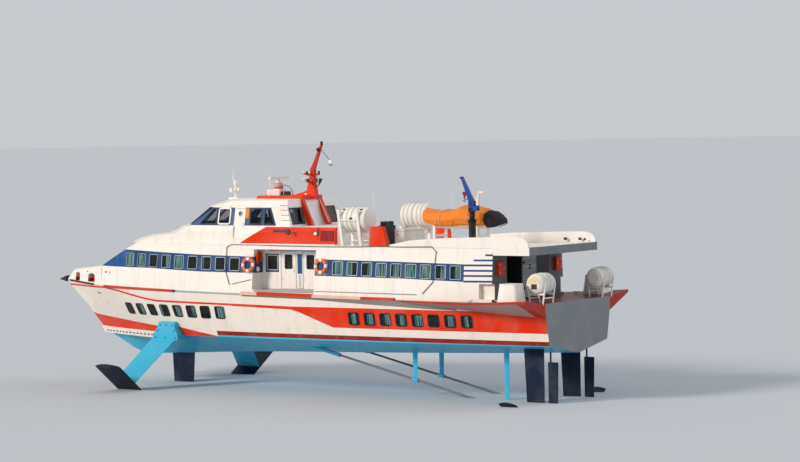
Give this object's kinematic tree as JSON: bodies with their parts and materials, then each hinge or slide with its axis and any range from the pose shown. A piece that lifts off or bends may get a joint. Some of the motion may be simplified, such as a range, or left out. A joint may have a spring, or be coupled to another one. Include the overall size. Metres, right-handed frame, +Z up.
{
  "type": "passenger ship, a surface-piercing hydrofoil ferry",
  "caption": "Hydrofoil passenger ferry on surface-piercing foils: chine hull, full-length saloon house, raised wheelhouse, raked mast, liferafts, rescue boat and crane.",
  "frame": {"origin": "on the centreline amidships, at the water surface as the ship runs on her foils", "axes": "+X forward, +Y to port, +Z up"},
  "size_m": [31.7395, 13.12, 13.5787],
  "materials": {
    "house_paint": "white gloss enamel on light alloy",
    "hull_paint": "cream and orange-red gloss enamel, cyan bottom paint",
    "red_paint": "orange-red gloss enamel",
    "foil_paint": "blue underwater paint on high-tensile steel",
    "strut_paint": "light cyan paint",
    "crane_paint": "blue gloss enamel",
    "dark_paint": "black satin paint",
    "grey_paint": "grey satin paint",
    "shaft_steel": "turned stainless steel",
    "propeller_bronze": "polished bronze",
    "canister_grp": "moulded white GRP",
    "cover_cloth": "orange coated cloth laced over the boat",
    "fender_rubber": "black extruded rubber",
    "seat_vinyl": "black vinyl"
  },
  "bodies": {
    "ship": {"hull": "hull_paint", "foredeck": "house_paint", "saloon_house": "house_paint", "upper_casing": "house_paint", "wheelhouse": "house_paint", "wheelhouse_roof": "house_paint", "roof_wings": "house_paint", "helm_console": "grey_paint", "helm_seats": "seat_vinyl", "mast_arch": "red_paint", "signal_mast": "red_paint", "radar_pedestal": "house_paint", "instrument_post": "house_paint", "vent_trunk": "dark_paint", "roof_lockers": "grey_paint", "rescue_boat": "cover_cloth", "boat_cradle": "house_paint", "crane_column": "dark_paint", "floodlight_post": "house_paint", "bow_fender": "fender_rubber", "bow_foil": "foil_paint", "stern_foil": "foil_paint", "spray_rail_port": "house_paint", "spray_rail_starboard": "house_paint", "stern_guard_port": "red_paint", "stern_guard_starboard": "red_paint", "mooring_bollards_port": "red_paint", "mooring_bollards_starboard": "red_paint", "roof_raft_port": "canister_grp", "roof_raft_starboard": "canister_grp", "roof_rack_port": "house_paint", "roof_rack_starboard": "house_paint", "stern_raft_port": "canister_grp", "stern_raft_starboard": "canister_grp", "stern_rack_port": "house_paint", "stern_rack_starboard": "house_paint", "roof_locker_red_port": "red_paint", "roof_locker_red_starboard": "red_paint", "stern_tub_port": "house_paint", "stern_tub_starboard": "house_paint", "stern_locker_red_port": "red_paint", "stern_locker_red_starboard": "red_paint", "bow_strut_port": "strut_paint", "bow_strut_starboard": "strut_paint"},
    "wheelhouse_door_port": {"wheelhouse_door_port": "house_paint"},
    "entrance_door_fore_port": {"entrance_door_fore_port": "house_paint"},
    "entrance_door_aft_port": {"entrance_door_aft_port": "house_paint"},
    "rudder_port": {"rudder_port": "foil_paint"},
    "propeller_port": {"propeller_port": "propeller_bronze", "propeller_shaft_port": "shaft_steel"},
    "wheelhouse_door_starboard": {"wheelhouse_door_starboard": "house_paint"},
    "entrance_door_fore_starboard": {"entrance_door_fore_starboard": "house_paint"},
    "entrance_door_aft_starboard": {"entrance_door_aft_starboard": "house_paint"},
    "rudder_starboard": {"rudder_starboard": "foil_paint"},
    "propeller_starboard": {"propeller_starboard": "propeller_bronze", "propeller_shaft_starboard": "shaft_steel"},
    "aft_door": {"aft_door": "grey_paint"},
    "radar_scanner": {"radar_scanner": "canister_grp"},
    "crane_slew": {"crane_slew": "crane_paint"},
    "crane_jib": {"crane_jib": "crane_paint"}
  },
  "joints": [
    {"name": "propeller_port_spin", "type": "hinge", "parent": "ship", "child": "propeller_port", "pos_m": [-12.9, 1.15, -0.56], "axis": [0.9735, 0, 0.2288], "continuous": true},
    {"name": "rudder_port_turn", "type": "hinge", "parent": "ship", "child": "rudder_port", "pos_m": [-15.15, 1.65, 0.4], "axis": [0, 0, 1], "range_deg": [-35, 35]},
    {"name": "entrance_door_fore_port_hinge", "type": "hinge", "parent": "ship", "child": "entrance_door_fore_port", "pos_m": [-0.3703, 2.392, 6], "axis": [0, 0, -1], "range_deg": [0, 90]},
    {"name": "entrance_door_aft_port_hinge", "type": "hinge", "parent": "ship", "child": "entrance_door_aft_port", "pos_m": [-1.6803, 2.392, 6], "axis": [0, 0, -1], "range_deg": [0, 90]},
    {"name": "wheelhouse_door_port_hinge", "type": "hinge", "parent": "ship", "child": "wheelhouse_door_port", "pos_m": [2.5997, 2.22756, 8.2], "axis": [0, 0.1923, -0.9813], "range_deg": [0, 90]},
    {"name": "propeller_starboard_spin", "type": "hinge", "parent": "ship", "child": "propeller_starboard", "pos_m": [-12.9, -1.15, -0.56], "axis": [0.9735, 0, 0.2288], "continuous": true},
    {"name": "rudder_starboard_turn", "type": "hinge", "parent": "ship", "child": "rudder_starboard", "pos_m": [-15.15, -1.65, 0.4], "axis": [0, 0, 1], "range_deg": [-35, 35]},
    {"name": "entrance_door_fore_starboard_hinge", "type": "hinge", "parent": "ship", "child": "entrance_door_fore_starboard", "pos_m": [-0.3703, -2.392, 6], "axis": [0, 0, 1], "range_deg": [0, 90]},
    {"name": "entrance_door_aft_starboard_hinge", "type": "hinge", "parent": "ship", "child": "entrance_door_aft_starboard", "pos_m": [-1.6803, -2.392, 6], "axis": [0, 0, 1], "range_deg": [0, 90]},
    {"name": "wheelhouse_door_starboard_hinge", "type": "hinge", "parent": "ship", "child": "wheelhouse_door_starboard", "pos_m": [2.5997, -2.22756, 8.2], "axis": [0, 0.1923, 0.9813], "range_deg": [0, 90]},
    {"name": "aft_door_hinge", "type": "hinge", "parent": "ship", "child": "aft_door", "pos_m": [-13.002, 0.62, 5.7], "axis": [0, 0, 1], "range_deg": [-180, 0]},
    {"name": "radar_spin", "type": "hinge", "parent": "ship", "child": "radar_scanner", "pos_m": [1.48, 0, 10.3], "axis": [0, 0, 1], "continuous": true},
    {"name": "crane_slew_turn", "type": "hinge", "parent": "ship", "child": "crane_slew", "pos_m": [-11.1, 1.85, 8.6], "axis": [0, 0, 1], "range_deg": [-170, 170]},
    {"name": "crane_jib_luff", "type": "hinge", "parent": "crane_slew", "child": "crane_jib", "pos_m": [-11.1, 1.85, 9.25], "axis": [0, 1, 0], "range_deg": [-12, 55]}
  ],
  "couplings": [
    {"joint": "rudder_starboard_turn", "follows": "rudder_port_turn", "ratio": 1}
  ]
}
